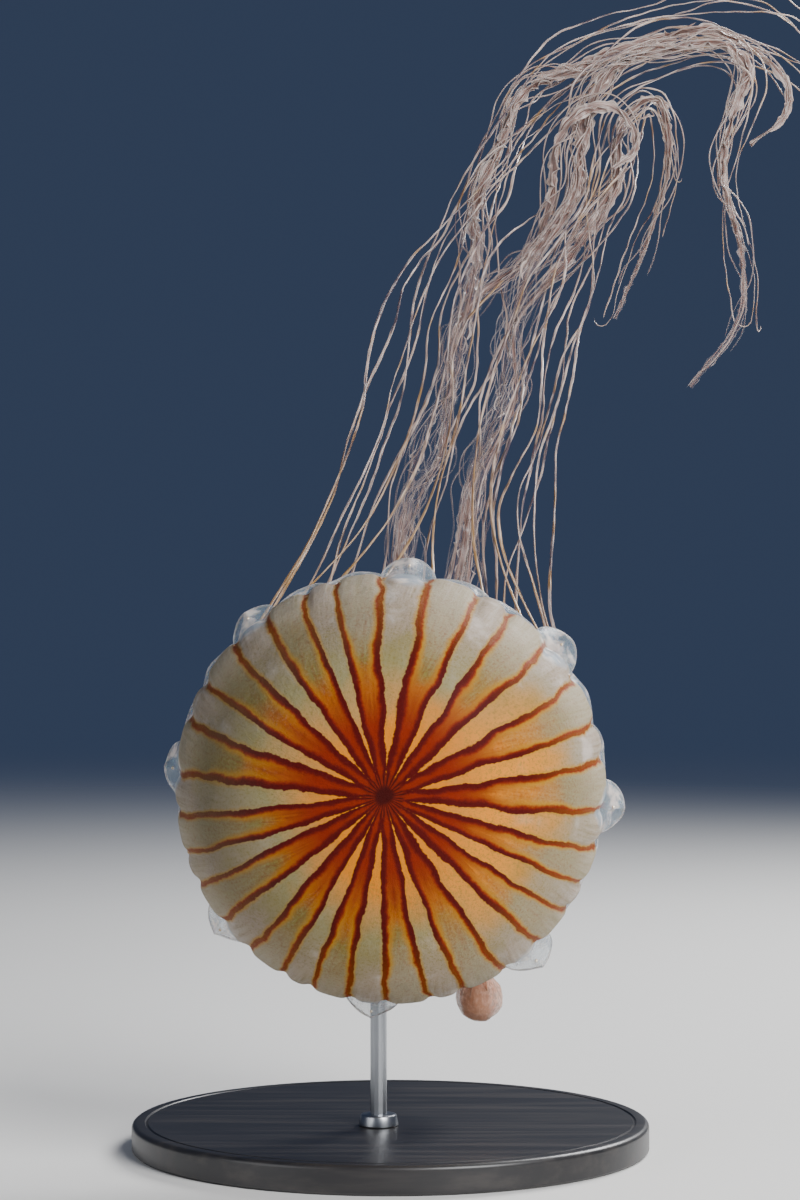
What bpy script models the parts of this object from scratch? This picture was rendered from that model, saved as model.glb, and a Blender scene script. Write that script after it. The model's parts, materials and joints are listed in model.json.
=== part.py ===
"""Sea nettle jellyfish: a life-size still model, swimming towards the viewer on a display stand.

The bell faces -Y and its tentacles and mouth arms trail behind it, rise, and arch over to +X.
Metres, +Z up. The origin is the middle of the stand's underside.
"""

import math

import bmesh
import bpy
import numpy as np
from mathutils import Matrix, Vector

# Stand
BASE_HALF_WIDTH = 0.110
BASE_HALF_DEPTH = 0.104
BASE_THICKNESS = 0.012
BASE_BEVEL = 0.002
BASE_SIDES = 48
ROD_RADIUS = 0.0035
ROD_X = -0.005
ROD_BEHIND_MARGIN = 0.030
ROD_BEND = 0.022

# Bell: local +Z points to its crown, and local z = 0 is the ring that the lappets grow from
BELL_CENTRE = Vector((0.0, -0.045, 0.156))
BELL_TILT = math.radians(2.5)
BELL_TURN = math.radians(-1.7)
BELL_RADIUS = 0.088
BELL_HEIGHT = 0.070
BELL_ROUNDNESS = 2.2
CROWN_THICKNESS = 0.018
EDGE_THICKNESS = 0.0016
BELL_STEPS = 96
OUTER_LATITUDES = (0, 17, 34, 50, 65, 79, 90)
INNER_LATITUDES = (90, 72, 52, 28, 0)

# Lappets: eight sense organs, each between two small lappets, with two broad lappets between pairs
FIRST_SENSE_ORGAN = math.radians(-5)
LAPPET_STEP = math.radians(15)
CLEFT_DEPTH = 0.003
BROAD_LAPPET = 0.009
BROAD_CURL = 0.003
SMALL_LAPPET = 0.012
SMALL_FLARE = 0.009
FLARE_AT_MARGIN = 0.3
SENSE_NOTCH = 0.004

# Mouth stalk and its four arms
STALK_TOP_RADIUS = 0.016
STALK_END_RADIUS = 0.0135
STALK_END = 0.004
STALK_STEPS = 16
STALK_LOBES = 0.12
ARM_COUNT = 4
ARM_ROOT_RADIUS = 0.0078
ARM_STATIONS = 20
ARM_CUT = 9
ARM_TURNS = 2.5
# (share of an arm's length, half its width there)
ARM_HALF_WIDTHS = (
    (0, 0.0050), (0.06, 0.0054), (0.13, 0.0052), (0.25, 0.0042), (0.45, 0.0048), (0.7, 0.0045), (1, 0.0022)
)
ARM_LEAD = 0.014
SAGGING_ARM = 3
SAG = (0.034, 0.010, 0.060)
SAG_SHARE = 0.21
SAG_FULLNESS = 0.0055

# Tentacles
TENTACLE_COUNT = 24
TENTACLE_STATIONS = 29
TENTACLE_CUT = 12
TENTACLE_RADIUS = 0.0011
TENTACLE_TIP_RADIUS = 0.00045
TENTACLE_LEAD = 0.017
ROOT_INSET = 0.0036
OUTLYING_TENTACLES = (9, 10)
OUTLYING_SHARE = 0.35

STRAIGHT_ROOT = 0.005
GAP = 0.0003
CLEARANCE = 0.0012
SEED = 11

# Where the trailing strands pass: (x, y, z, spread). The gates hold the whole bundle, as ellipses
# that are wider across than deep. Above them it parts into streams, each led by its own route.
GATES = (
    (0.024, 0.040, 0.277, 0.043),
    (0.038, 0.070, 0.323, 0.042),
    (0.051, 0.100, 0.371, 0.042),
)
GATE_DEPTH_SHARE = 0.72
ARM_SPREAD_SHARE = 0.45
STREAMS = {
    "left": (
        (0.043, 0.123, 0.425, 0.016),
        (0.068, 0.143, 0.474, 0.017),
        (0.122, 0.160, 0.506, 0.018),
        (0.185, 0.167, 0.508, 0.017),
        (0.217, 0.165, 0.470, 0.014),
        (0.222, 0.161, 0.425, 0.011),
        (0.214, 0.155, 0.380, 0.008),
    ),
    "inner": (
        (0.043, 0.123, 0.425, 0.014),
        (0.068, 0.143, 0.472, 0.012),
        (0.124, 0.158, 0.498, 0.009),
        (0.172, 0.166, 0.498, 0.007),
        (0.194, 0.167, 0.478, 0.006),
        (0.184, 0.165, 0.461, 0.005),
        (0.170, 0.163, 0.452, 0.004),
    ),
    "middle": (
        (0.084, 0.110, 0.424, 0.013),
        (0.099, 0.123, 0.468, 0.010),
        (0.143, 0.135, 0.493, 0.008),
        (0.167, 0.137, 0.482, 0.006),
        (0.157, 0.131, 0.437, 0.005),
        (0.162, 0.126, 0.396, 0.005),
        (0.165, 0.125, 0.366, 0.004),
        (0.142, 0.130, 0.333, 0.003),
    ),
    "knot": (
        (0.082, 0.108, 0.422, 0.012),
        (0.090, 0.112, 0.452, 0.010),
        (0.107, 0.112, 0.462, 0.008),
        (0.112, 0.104, 0.446, 0.006),
        (0.100, 0.098, 0.434, 0.005),
    ),
    "right": (
        (0.097, 0.105, 0.407, 0.009),
        (0.113, 0.133, 0.458, 0.008),
        (0.125, 0.146, 0.470, 0.005),
        (0.131, 0.157, 0.442, 0.005),
        (0.125, 0.168, 0.414, 0.005),
        (0.103, 0.183, 0.371, 0.004),
    ),
}


def clear_scene():
    for old in list(bpy.data.objects):
        bpy.data.objects.remove(old)


def new_collection(name):
    made = bpy.data.collections.new(name)
    bpy.context.scene.collection.children.link(made)
    return made


def new_material(name, colour, roughness, metallic=0.0):
    made = bpy.data.materials.new(name)
    made.use_nodes = True
    shader = made.node_tree.nodes["Principled BSDF"]
    shader.inputs["Base Color"].default_value = (*colour, 1)
    shader.inputs["Roughness"].default_value = roughness
    shader.inputs["Metallic"].default_value = metallic
    return made


def add_object(name, data, collection, material):
    made = bpy.data.objects.new(name, data)
    data.materials.append(material)
    collection.objects.link(made)
    return made


def shade_round(mesh, sharp_degrees):
    mesh.shade_smooth()
    mesh.set_sharp_from_angle(angle=math.radians(sharp_degrees))


# Bell ---------------------------------------------------------------------------------------------


def bell_matrix():
    """Bell space to the part's frame: local +Z leads to the crown, local +Y is up."""
    turn = Matrix.Rotation(BELL_TURN, 4, "Z")
    lay_over = Matrix.Rotation(math.radians(90) + BELL_TILT, 4, "X")
    return Matrix.Translation(BELL_CENTRE) @ turn @ lay_over


def outer_point(latitude):
    """(radius, height) on the bell's outer side, from 0 at the crown to 90 at the margin."""
    a = math.radians(latitude)
    power = 2 / BELL_ROUNDNESS
    return BELL_RADIUS * math.sin(a) ** power, BELL_HEIGHT * max(0.0, math.cos(a)) ** power


def inner_point(latitude):
    """The same on the inner side: the jelly is thick at the crown and thin at the margin."""
    a = math.radians(latitude)
    radius, height = outer_point(latitude)
    thickness = EDGE_THICKNESS + (CROWN_THICKNESS - EDGE_THICKNESS) * math.cos(a) ** 2
    normal = Vector((math.sin(a) * BELL_HEIGHT, math.cos(a) * BELL_RADIUS)).normalized()
    return radius - thickness * normal.x, height - thickness * normal.y


def lappet_at(angle):
    """(reach, flare) of the margin at an angle round the bell."""
    share = (angle - FIRST_SENSE_ORGAN) / LAPPET_STEP + 0.5
    place = share % 3
    if place < 1:  # the pair of small lappets, with the sense organ in the notch between them
        lobe = abs(math.sin(2 * math.pi * place))
        bulge = math.sin(math.pi * place)
        reach = CLEFT_DEPTH + (SENSE_NOTCH * bulge + (SMALL_LAPPET - SENSE_NOTCH) * lobe)
        return reach, SMALL_FLARE * bulge**0.7
    bulge = math.sin(math.pi * (place % 1))
    return CLEFT_DEPTH + BROAD_LAPPET * bulge, -BROAD_CURL * bulge


def spun_mesh(name, profile, steps):
    """A closed mesh turned about Z from a profile of (radius, height) that starts and ends on the axis."""
    shape = bmesh.new()
    points = [shape.verts.new((radius, 0, height)) for radius, height in profile]
    edges = [shape.edges.new(pair) for pair in zip(points, points[1:])]
    bmesh.ops.spin(
        shape, geom=points + edges, cent=(0, 0, 0), axis=(0, 0, 1),
        angle=2 * math.pi, steps=steps, use_merge=True,
    )
    bmesh.ops.remove_doubles(shape, verts=shape.verts, dist=1e-6)
    bmesh.ops.recalc_face_normals(shape, faces=shape.faces)
    mesh = bpy.data.meshes.new(name)
    shape.to_mesh(mesh)
    shape.free()
    return mesh


def build_bell(collection, material, axis):
    """The bell as one shell: outer side, lappets and inner side, turned and then scalloped."""
    outer = [outer_point(latitude) for latitude in OUTER_LATITUDES]
    inner = [inner_point(latitude) for latitude in INNER_LATITUDES]
    lip = CLEFT_DEPTH
    edge = [(BELL_RADIUS, -lip), (BELL_RADIUS - EDGE_THICKNESS, -lip)]
    mesh = spun_mesh("bell", outer + edge + inner, BELL_STEPS)
    mesh.transform(Matrix.Rotation(FIRST_SENSE_ORGAN + 0.5 * LAPPET_STEP, 4, "Z"))
    for vertex in mesh.vertices:
        if vertex.co.z > 0.5 * lip:
            continue
        angle = math.atan2(vertex.co.y, vertex.co.x)
        reach, flare = lappet_at(angle)
        if vertex.co.z > -0.5 * lip:
            reach, flare = 0, FLARE_AT_MARGIN * max(flare, 0)
        radius = math.hypot(vertex.co.x, vertex.co.y) + flare
        vertex.co = (radius * math.cos(angle), radius * math.sin(angle), -reach)
    shade_round(mesh, 50)
    add_object("bell", mesh, collection, material).parent = axis


def build_stalk(collection, material, axis):
    """The mouth stalk: a four-lobed column from the middle of the bell's inside."""
    inner = sorted(inner_point(latitude) for latitude in INNER_LATITUDES)
    radii, heights = zip(*inner)
    widest = STALK_TOP_RADIUS * (1 + STALK_LOBES)
    top = float(np.interp(widest, radii, heights)) - GAP
    waist = 0.5 * (STALK_TOP_RADIUS + STALK_END_RADIUS) * 0.86
    profile = (
        (0, top),
        (STALK_TOP_RADIUS, top),
        (waist, 0.72 * top + 0.28 * STALK_END),
        (waist * 1.04, 0.30 * top + 0.70 * STALK_END),
        (STALK_END_RADIUS, STALK_END),
        (0, STALK_END),
    )
    mesh = spun_mesh("mouth_stalk", profile, STALK_STEPS)
    for vertex in mesh.vertices:
        angle = math.atan2(vertex.co.y, vertex.co.x)
        lobe = 1 + STALK_LOBES * math.cos(ARM_COUNT * (angle - math.radians(45)))
        vertex.co = (vertex.co.x * lobe, vertex.co.y * lobe, vertex.co.z)
    shade_round(mesh, 50)
    add_object("mouth_stalk", mesh, collection, material).parent = axis


# Strand routes ------------------------------------------------------------------------------------


def natural_spline(stations, count):
    """count points evenly spaced along a natural cubic spline through the stations."""
    p = np.asarray(stations, float)
    t = np.concatenate([[0], np.cumsum(np.linalg.norm(np.diff(p, axis=0), axis=1) ** 0.6)])
    h = np.diff(t)
    n = len(p)
    system = np.eye(n)
    right = np.zeros((n, 3))
    for i in range(1, n - 1):
        system[i, i - 1:i + 2] = h[i - 1], 2 * (h[i - 1] + h[i]), h[i]
        right[i] = 6 * ((p[i + 1] - p[i]) / h[i] - (p[i] - p[i - 1]) / h[i - 1])
    bend = np.linalg.solve(system, right)
    at = np.linspace(0, t[-1], 12 * n + 4 * count)
    k = np.clip(np.searchsorted(t, at, side="right") - 1, 0, n - 2)
    a, b, w = (t[k + 1] - at)[:, None], (at - t[k])[:, None], h[k][:, None]
    curve = (
        bend[k] * a**3 / (6 * w) + bend[k + 1] * b**3 / (6 * w)
        + (p[k] / w - bend[k] * w / 6) * a + (p[k + 1] / w - bend[k + 1] * w / 6) * b
    )
    return even_points(curve, count)


def lengths_along(curve):
    return np.concatenate([[0], np.cumsum(np.linalg.norm(np.diff(curve, axis=0), axis=1))])


def even_points(curve, count, measure=None):
    """The curve at count places evenly spaced by its length, or by another rising measure."""
    measure = lengths_along(curve) if measure is None else measure
    at = np.linspace(0, measure[-1], count)
    return np.stack([np.interp(at, measure, curve[:, k]) for k in range(3)], axis=1)


def bend_measure(curve):
    """A measure that rises with length and faster in bends, so that stations gather there."""
    along = lengths_along(curve)
    heading = np.gradient(curve, axis=0)
    heading /= np.linalg.norm(heading, axis=1)[:, None]
    turned = np.linalg.norm(np.diff(heading, axis=0), axis=1)
    return along + 0.09 * np.concatenate([[0], np.cumsum(turned)])


def rooted_stations(curve, count):
    """Stations along a strand's curve whose first run leaves the root square to it."""
    away = -np.array(bell_matrix().col[2][:3])
    rest = np.vstack([curve[0] + STRAIGHT_ROOT * away, curve[lengths_along(curve) > 2 * STRAIGHT_ROOT]])
    return np.vstack([curve[0], even_points(rest, count - 1, bend_measure(rest))])


def cross_frame(heading, across=(1, 0, 0)):
    """Two directions square to a heading, the first as near to across as it can be."""
    heading = heading / np.linalg.norm(heading)
    side = np.asarray(across, float) - np.dot(across, heading) * heading
    side /= np.linalg.norm(side)
    return side, np.cross(heading, side)


def sweep_stations(start, away, gate, onward):
    """Three stations on one sweep that leaves start along away and reaches a gate along onward."""
    reach = np.linalg.norm(gate - start)
    return [
        (2 * s**3 - 3 * s**2 + 1) * start + (s**3 - 2 * s**2 + s) * reach * 1.15 * away
        + (3 * s**2 - 2 * s**3) * gate + (s**3 - s**2) * reach * 0.9 * onward
        for s in (0.25, 0.5, 0.75)
    ]


def rise_stations(root, away, gate, onward, lead):
    """Stations from a root, straight back at first, and round in one sweep to the first gate."""
    start = root + lead * away
    return [root, 0.5 * (root + start), start] + sweep_stations(start, away, gate, onward)


def stream_stations(stream, share, angle, end_share):
    """Stations along a stream, held off its middle by a share of its spread at that angle."""
    route = np.array(STREAMS[stream])[:, :3]
    spread = np.array(STREAMS[stream])[:, 3]
    kept = max(3, int(round(end_share * len(route))))
    headings = np.gradient(route, axis=0)
    found = []
    for k in range(kept):
        side, other = cross_frame(headings[k], (1, 0, 0) if k < 1 else (0, 1, 0))
        offset = math.cos(angle) * side + math.sin(angle) * other
        found.append(route[k] + share * spread[k] * offset)
    return found


def gate_stations(angle, share, draw, jitter):
    """Stations where the bundle is one ring: +Z round the bell becomes the near side."""
    found = []
    for x, y, z, spread in GATES:
        shift = draw.uniform(-jitter, jitter, 2)
        found.append(
            np.array((
                x + share * spread * math.cos(angle) + shift[0],
                y - share * spread * GATE_DEPTH_SHARE * math.sin(angle) + shift[1],
                z,
            ))
        )
    return found


def wander(curve, draw, reach, wavelength):
    """The curve with slow sideways waves that grow from nothing at its root."""
    along = lengths_along(curve)
    grow = np.clip((along - 0.06) / 0.12, 0, 1)[:, None]
    wave = np.zeros_like(curve)
    for turn in (1.0, 1.9):
        phase = draw.uniform(0, 2 * math.pi, 3)
        wave += np.sin(2 * math.pi * along[:, None] * turn / wavelength + phase) / turn
    return curve + reach * grow * wave


def stream_of_tentacle(degrees):
    """Which stream a tentacle joins, by where on the bell it grows."""
    if -75 < degrees < 25:
        return "right"
    if 25 <= degrees < 100 or degrees >= 260:
        return "middle"
    return "left"


def tentacle_route(index, draw):
    """The dense curve of one tentacle."""
    degrees = math.degrees(FIRST_SENSE_ORGAN) + 7.5 + 15 * index
    angle = math.radians(degrees)
    frame = bell_matrix()
    radius = BELL_RADIUS - ROOT_INSET
    root = np.array(frame @ Vector((radius * math.cos(angle), radius * math.sin(angle), 0.0005)))
    away = -np.array(frame.col[2][:3])
    stream = stream_of_tentacle(degrees if degrees < 285 else degrees - 360)
    share = draw.uniform(0.78, 1.05) + (OUTLYING_SHARE if index in OUTLYING_TENTACLES else 0)
    gates = gate_stations(angle + math.radians(14), share, draw, 0.004)
    onward = (gates[1] - gates[0]) / np.linalg.norm(gates[1] - gates[0])
    lead = TENTACLE_LEAD + 0.012 * (1 - math.sin(angle))
    share, turn = math.sqrt(draw.uniform(0.15, 1)), draw.uniform(0, 2 * math.pi)
    end_share = (1.0, 0.72, 0.88, 0.58)[index % 4]
    stations = (
        rise_stations(root, away, gates[0], onward, lead)
        + gates
        + stream_stations(stream, share, turn, end_share)
    )
    return wander(natural_spline(stations, 260), draw, 0.0028, 0.15)


def arm_route(index, draw):
    """The dense curve of one mouth arm."""
    angle = math.radians(45 + 90 * index)
    frame = bell_matrix()
    spot = Vector((ARM_ROOT_RADIUS * math.cos(angle), ARM_ROOT_RADIUS * math.sin(angle), STALK_END - GAP))
    root = np.array(frame @ spot)
    away = -np.array(frame.col[2][:3])
    gates = gate_stations(angle + math.radians(14), ARM_SPREAD_SHARE, draw, 0.002)
    onward = (gates[1] - gates[0]) / np.linalg.norm(gates[1] - gates[0])
    if index == SAGGING_ARM:
        low = np.array(SAG)
        rise = rise_stations(root, away, low, away, ARM_LEAD) + [low]
        rise += sweep_stations(low + ARM_LEAD * away, away, gates[0], onward)
    else:
        rise = rise_stations(root, away, gates[0], onward, ARM_LEAD + 0.006 * (1 - math.sin(angle)))
    stream = ("middle", "inner", "knot", "right")[index]
    stations = rise + gates + stream_stations(stream, 0.0, 0.0, 1.0)
    return wander(natural_spline(stations, 260), draw, 0.0022, 0.11)


def tentacle_radii(count):
    s = np.linspace(0, 1, count)
    return TENTACLE_RADIUS + (TENTACLE_TIP_RADIUS - TENTACLE_RADIUS) * s**1.6


def arm_half_widths(index, count):
    """Half the width of a mouth arm at each station. The sagging arm is fuller at its low point."""
    shares, half_widths = zip(*ARM_HALF_WIDTHS)
    s = np.linspace(0, 1, count)
    fuller = SAG_FULLNESS * np.exp(-(((s - SAG_SHARE) / 0.05) ** 2)) if index == SAGGING_ARM else 0
    return np.interp(s, shares, half_widths) + fuller


def closest_shares(p, along_p, q, along_q):
    """How far along two straight runs, from 0 to 1, they pass each other most closely, for many pairs."""
    apart = p - q
    a, e, b = ((u * v).sum(axis=1) for u, v in ((along_p,) * 2, (along_q,) * 2, (along_p, along_q)))
    c, f = (along_p * apart).sum(axis=1), (along_q * apart).sum(axis=1)
    on_p = np.clip((b * f - c * e) / np.maximum(a * e - b * b, 1e-16), 0, 1)
    on_q = np.clip((b * on_p + f) / e, 0, 1)
    return np.clip((b * on_q - c) / a, 0, 1), on_q


def spread_apart(strands, sizes, held, rounds=500):
    """Moves stations until no two strands pass closer than their sizes and a clearance.

    It works on the straight runs between stations, because the solids are made of those. held
    says how many stations at each root stay in place. Each strand's shift is evened out along it
    in the first rounds, so that it gives way in a smooth bow. Places are rounded, so that the
    last digits of a sum, which may differ between runs, never grow into a different result.
    """
    ends = np.cumsum([len(strand) for strand in strands])
    starts = ends - [len(strand) for strand in strands]
    runs = np.concatenate([np.arange(a, b - 1) for a, b in zip(starts, ends)])
    owner = np.repeat(np.arange(len(strands)), [len(strand) - 1 for strand in strands])
    first, second = np.triu_indices(len(runs), 1)
    other = owner[first] != owner[second]
    first, second = runs[first[other]], runs[second[other]]
    placed, radius = np.round(np.concatenate(strands), 7), np.concatenate(sizes)
    fixed = np.concatenate([np.arange(len(strand)) < n for strand, n in zip(strands, held)])
    shift = np.zeros_like(placed)
    for turn in range(rounds):
        at = placed + shift
        if turn % 20 == 0:
            along = at[runs + 1] - at[runs]
            reach, middle = np.zeros(len(at)), np.zeros_like(at)
            reach[runs] = 0.5 * np.linalg.norm(along, axis=1) + radius[runs] + 0.006
            middle[runs] = at[runs] + 0.5 * along
            gap = np.linalg.norm(middle[first] - middle[second], axis=1)
            near = gap < reach[first] + reach[second]
            i, j = first[near], second[near]
        on_i, on_j = closest_shares(at[i], at[i + 1] - at[i], at[j], at[j + 1] - at[j])
        on_i, on_j = on_i[:, None], on_j[:, None]
        apart = (1 - on_i) * at[i] + on_i * at[i + 1] - (1 - on_j) * at[j] - on_j * at[j + 1]
        distance = np.maximum(np.linalg.norm(apart, axis=1), 1e-6)
        want = CLEARANCE + (1 - on_i[:, 0]) * radius[i] + on_i[:, 0] * radius[i + 1]
        want += (1 - on_j[:, 0]) * radius[j] + on_j[:, 0] * radius[j + 1]
        close = (distance < want) & ~(fixed[i + 1] & fixed[j + 1])
        worst = float(np.max((want - distance)[close], initial=0))
        if worst < 0.25 * CLEARANCE:
            break
        push = (0.5 * (want - distance) / distance)[close, None] * apart[close]
        total, count = np.zeros_like(shift), np.zeros((len(shift), 1))
        for run, share, sign in ((i, on_i, 1), (j, on_j, -1)):
            run, share = run[close], share[close]
            grip = (1 - share) ** 2 + share**2
            for step, part in ((0, 1 - share), (1, share)):
                np.add.at(total, run + step, sign * part * push / grip)
                np.add.at(count, run + step, part)
        shift += total / np.maximum(count, 1)
        if turn < 0.6 * rounds:
            for a, b in zip(starts, ends):
                inner = shift[a + 1:b - 1]
                inner += 0.2 * (shift[a:b - 2] + shift[a + 2:b] - 2 * inner)
        shift[fixed] = 0
        shift = np.round(shift, 8)
    at = placed + shift
    return [at[a:b] for a, b in zip(starts, ends)], worst


def rod_stations():
    """The stand's rod: upright from the plate, then bent forward under the end of the mouth stalk."""
    valley = STALK_END_RADIUS * (1 - STALK_LOBES)
    rest = np.array(bell_matrix() @ Vector((0, -valley, STALK_END + 0.006)))
    lean = np.array((0, 0.3, -1)) / math.hypot(0.3, 1)
    head = rest + (GAP + ROD_RADIUS) * lean
    foot = np.array((ROD_X, BELL_CENTRE.y + ROD_BEHIND_MARGIN, BASE_THICKNESS + GAP))
    knee = np.array((foot[0], foot[1], head[2] - ROD_BEND))
    corner = np.array((foot[0], foot[1], head[2] - 0.35 * ROD_BEND))
    bend = [(1 - s) ** 2 * knee + 2 * s * (1 - s) * corner + s**2 * head for s in (0, 0.25, 0.5, 0.75, 1)]
    return np.array([foot] + bend)


def all_routes():
    """Stations of every tentacle and mouth arm, parted so that none touch each other or the rod."""
    draw = np.random.default_rng(SEED)
    strands, sizes = [], []
    for index in range(TENTACLE_COUNT):
        curve = tentacle_route(index, draw)
        strands.append(rooted_stations(curve, TENTACLE_STATIONS))
        sizes.append(tentacle_radii(TENTACLE_STATIONS))
    for index in range(ARM_COUNT):
        curve = arm_route(index, draw)
        strands.append(rooted_stations(curve, ARM_STATIONS))
        sizes.append(arm_half_widths(index, ARM_STATIONS))
    rod = rod_stations()
    strands.append(rod)
    sizes.append(np.full(len(rod), ROD_RADIUS))
    held = [2] * (TENTACLE_COUNT + ARM_COUNT) + [len(rod)]
    routes, lack = spread_apart(strands, sizes, held)
    return routes[:TENTACLE_COUNT], routes[TENTACLE_COUNT:-1], lack


# Strands ------------------------------------------------------------------------------------------


def add_curve(name, stations, radii, collection, material):
    """A curve object through the stations, with its own thickness at each of them."""
    curve = bpy.data.curves.new(name, "CURVE")
    curve.dimensions = "3D"
    curve.resolution_u = 1
    curve.use_fill_caps = True
    spline = curve.splines.new("POLY")
    spline.points.add(len(stations) - 1)
    for point, station, radius in zip(spline.points, stations, radii):
        point.co = (*station, 1)
        point.radius = radius
    spline.use_smooth = True
    return add_object(name, curve, collection, material)


def parted(stations, radii, cut):
    """The stations in two lengths with a gap between them, cut in the middle of a straight run."""
    middle = 0.5 * (stations[cut] + stations[cut + 1])
    half_gap = 0.5 * GAP * (stations[cut + 1] - stations[cut])
    half_gap /= np.linalg.norm(stations[cut + 1] - stations[cut])
    radius = 0.5 * (radii[cut] + radii[cut + 1])
    near = np.vstack([stations[:cut + 1], middle - half_gap]), np.append(radii[:cut + 1], radius)
    far = np.vstack([middle + half_gap, stations[cut + 1:]]), np.append(radius, radii[cut + 1:])
    return near, far


def build_tentacles(collection, material, routes):
    for index, stations in enumerate(routes):
        lengths = parted(stations, tentacle_radii(len(stations)), TENTACLE_CUT)
        for part, (points, radii) in zip("ab", lengths):
            made = add_curve(f"tentacle_{index + 1:02d}_{part}", points, radii, collection, material)
            made.data.bevel_depth = 1.0
            made.data.bevel_resolution = 0


def ribbon_profile(guides):
    """A flat six-sided loop one unit from middle to edge, for the mouth arms to follow."""
    curve = bpy.data.curves.new("ribbon_profile", "CURVE")
    curve.dimensions = "2D"
    spline = curve.splines.new("POLY")
    corners = ((1, 0), (0.45, -0.3), (-0.45, -0.3), (-1, 0), (-0.45, 0.3), (0.45, 0.3))
    spline.points.add(len(corners) - 1)
    for point, corner in zip(spline.points, corners):
        point.co = (*corner, 0, 1)
    spline.use_cyclic_u = True
    made = bpy.data.objects.new("ribbon_profile", curve)
    guides.objects.link(made)
    made.hide_render = True
    made.display_type = "WIRE"
    return made


def build_arms(collection, material, guides, routes):
    profile = ribbon_profile(guides)
    for index, stations in enumerate(routes):
        lengths = parted(stations, arm_half_widths(index, len(stations)), ARM_CUT)
        for part, (points, radii) in zip("ab", lengths):
            name = f"mouth_arm_{index + 1}_{part}"
            made = add_curve(name, points, radii, collection, material)
            made.data.bevel_mode = "OBJECT"
            made.data.bevel_object = profile
            made.data.twist_mode = "MINIMUM"
            twists = np.linspace(0, math.pi * ARM_TURNS, len(points))
            for point, twist in zip(made.data.splines[0].points, twists):
                point.tilt = twist


# Stand --------------------------------------------------------------------------------------------


def build_base(collection, material):
    """An oval plate with its top and bottom edges bevelled."""
    shape = bmesh.new()
    bmesh.ops.create_cone(
        shape, cap_ends=True, segments=BASE_SIDES, radius1=1, radius2=1, depth=BASE_THICKNESS
    )
    scale = (BASE_HALF_WIDTH, BASE_HALF_DEPTH, 1)
    bmesh.ops.scale(shape, vec=scale, verts=shape.verts)
    bmesh.ops.translate(shape, vec=(0, 0, BASE_THICKNESS / 2), verts=shape.verts)
    rims = [edge for edge in shape.edges if abs(edge.verts[0].co.z - edge.verts[1].co.z) < 1e-6]
    bmesh.ops.bevel(
        shape, geom=rims, offset=BASE_BEVEL, segments=2, profile=0.5, affect="EDGES"
    )
    mesh = bpy.data.meshes.new("stand_base")
    shape.to_mesh(mesh)
    shape.free()
    shade_round(mesh, 35)
    add_object("stand_base", mesh, collection, material)


def build_rod(collection, material):
    stations = rod_stations()
    made = add_curve("stand_rod", stations, np.full(len(stations), ROD_RADIUS), collection, material)
    made.data.bevel_depth = 1.0
    made.data.bevel_resolution = 4


def main():
    clear_scene()
    jellyfish = new_collection("sea_nettle_jellyfish")
    guides = new_collection("guides")
    guides.hide_render = True
    bell = new_material("bell_jelly", (0.72, 0.50, 0.24), 0.25)
    stalk = new_material("mouth_stalk", (0.62, 0.36, 0.20), 0.35)
    arms = new_material("mouth_arms", (0.74, 0.58, 0.48), 0.4)
    tentacles = new_material("tentacles", (0.62, 0.50, 0.42), 0.35)
    plate = new_material("stand_plate", (0.05, 0.05, 0.055), 0.45)
    rod = new_material("stand_rod", (0.55, 0.55, 0.56), 0.3, metallic=1.0)
    axis = bpy.data.objects.new("bell_axis", None)
    axis.matrix_world = bell_matrix()
    guides.objects.link(axis)
    build_bell(jellyfish, bell, axis)
    build_stalk(jellyfish, stalk, axis)
    tentacle_routes, arm_routes, lack = all_routes()
    build_tentacles(jellyfish, tentacles, tentacle_routes)
    build_arms(jellyfish, arms, guides, arm_routes)
    build_base(jellyfish, plate)
    build_rod(jellyfish, rod)
    print("strands lack at most", round(1000 * lack, 2), "mm of their clearance")


main()
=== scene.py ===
"""Looks of the sea nettle jellyfish on its display stand: skins, finishes, stage and camera."""

import json
import math

import bmesh
import bpy
import numpy as np
from bpy.props import FloatProperty, FloatVectorProperty, IntProperty, PointerProperty
from mathutils import Matrix, Vector, noise

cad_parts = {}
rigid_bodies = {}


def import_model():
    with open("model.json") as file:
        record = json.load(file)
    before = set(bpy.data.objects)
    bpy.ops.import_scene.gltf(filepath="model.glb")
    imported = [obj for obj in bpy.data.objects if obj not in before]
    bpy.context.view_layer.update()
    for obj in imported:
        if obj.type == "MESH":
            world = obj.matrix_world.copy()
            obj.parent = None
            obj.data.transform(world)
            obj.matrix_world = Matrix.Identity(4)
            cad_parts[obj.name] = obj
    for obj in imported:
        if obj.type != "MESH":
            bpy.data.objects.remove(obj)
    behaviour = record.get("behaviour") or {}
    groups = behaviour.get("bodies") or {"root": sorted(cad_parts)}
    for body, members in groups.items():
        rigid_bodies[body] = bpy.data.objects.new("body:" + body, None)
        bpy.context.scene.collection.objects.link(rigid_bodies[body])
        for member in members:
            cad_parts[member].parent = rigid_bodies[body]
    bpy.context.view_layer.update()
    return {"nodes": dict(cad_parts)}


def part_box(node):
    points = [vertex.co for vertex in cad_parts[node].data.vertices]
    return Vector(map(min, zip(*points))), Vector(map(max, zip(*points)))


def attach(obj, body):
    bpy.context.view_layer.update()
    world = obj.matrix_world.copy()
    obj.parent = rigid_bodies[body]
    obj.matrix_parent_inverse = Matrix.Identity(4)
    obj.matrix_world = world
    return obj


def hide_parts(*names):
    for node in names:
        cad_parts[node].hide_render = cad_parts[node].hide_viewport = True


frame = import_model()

bl_info = {
    "name": "Sea nettle jellyfish",
    "version": (1, 0, 0),
    "blender": (4, 5, 0),
    "location": "3D View > Sidebar > Jellyfish",
    "description": "Dresses a sea nettle jellyfish model and its display stand",
    "category": "Object",
}

MM = 0.001

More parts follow.
